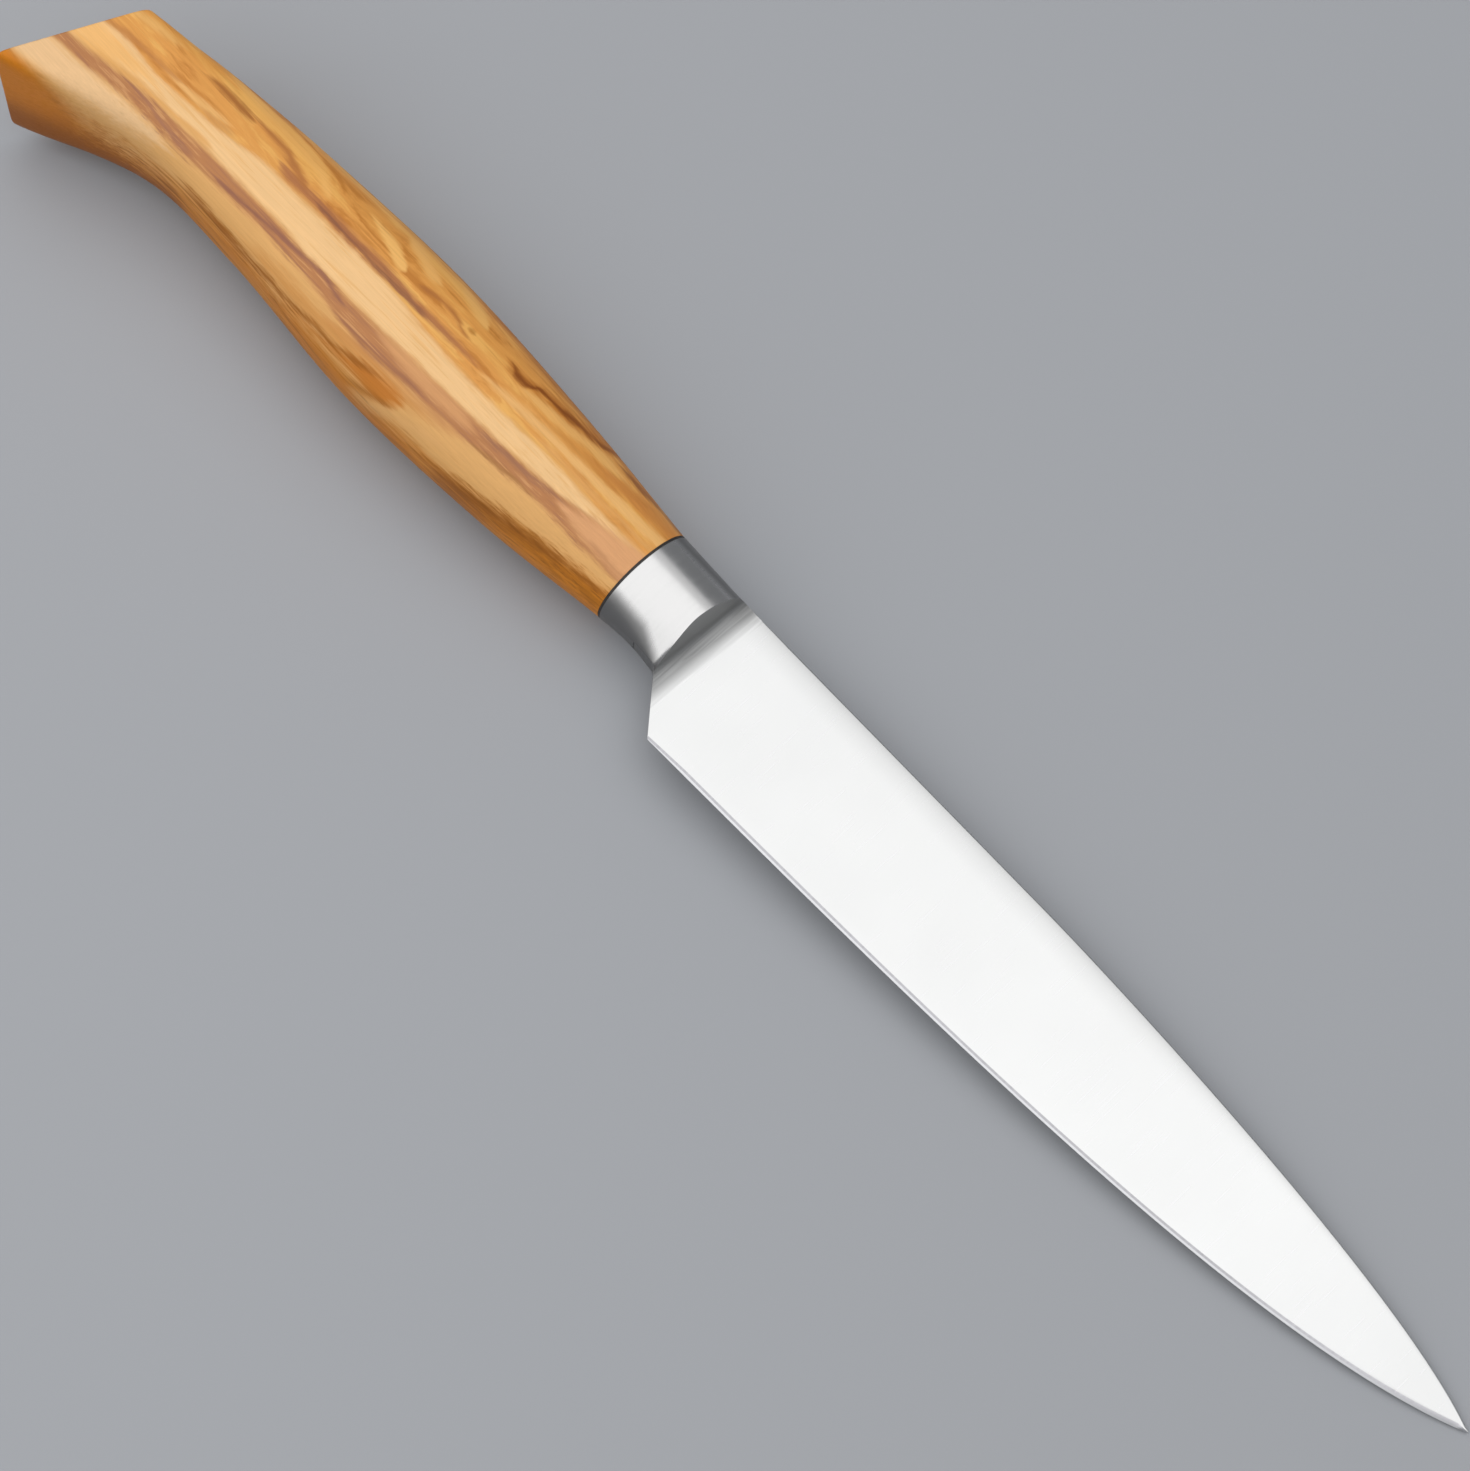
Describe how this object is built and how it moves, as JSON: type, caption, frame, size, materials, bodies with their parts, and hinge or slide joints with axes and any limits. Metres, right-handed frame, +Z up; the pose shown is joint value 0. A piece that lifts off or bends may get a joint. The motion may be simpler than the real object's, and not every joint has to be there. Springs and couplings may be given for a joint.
{
  "type": "vegetable knife",
  "caption": "Kitchen knife with a slim pointed steel blade, a round-ground steel bolster and a contoured olive wood handle that flares to a slanted butt.",
  "frame": {"origin": "on the table under the middle of the knife's bounding box, with the knife lying on its side", "axes": "+X runs along the knife from the butt to the tip, +Y across it from the edge side to the spine side, +Z up; the blade's plane leans tip down by 2.8 degrees, so the handle's side and the tip touch the table"},
  "size_m": [0.2464, 0.026, 0.0213],
  "materials": {
    "blade_steel": "fine satin grind",
    "bolster_steel": "satin polish",
    "raw_steel": "as rolled",
    "weld_metal": "as welded",
    "black_fibre": "matt",
    "epoxy": "cured",
    "olive_wood": "sanded and oiled, satin"
  },
  "bodies": {
    "root": {"blade": "blade_steel", "bolster": "bolster_steel", "bolster_weld": "weld_metal", "tang": "raw_steel", "tang_weld": "weld_metal", "spacer": "black_fibre", "epoxy_bedding": "epoxy", "handle": "olive_wood"}
  },
  "joints": []
}
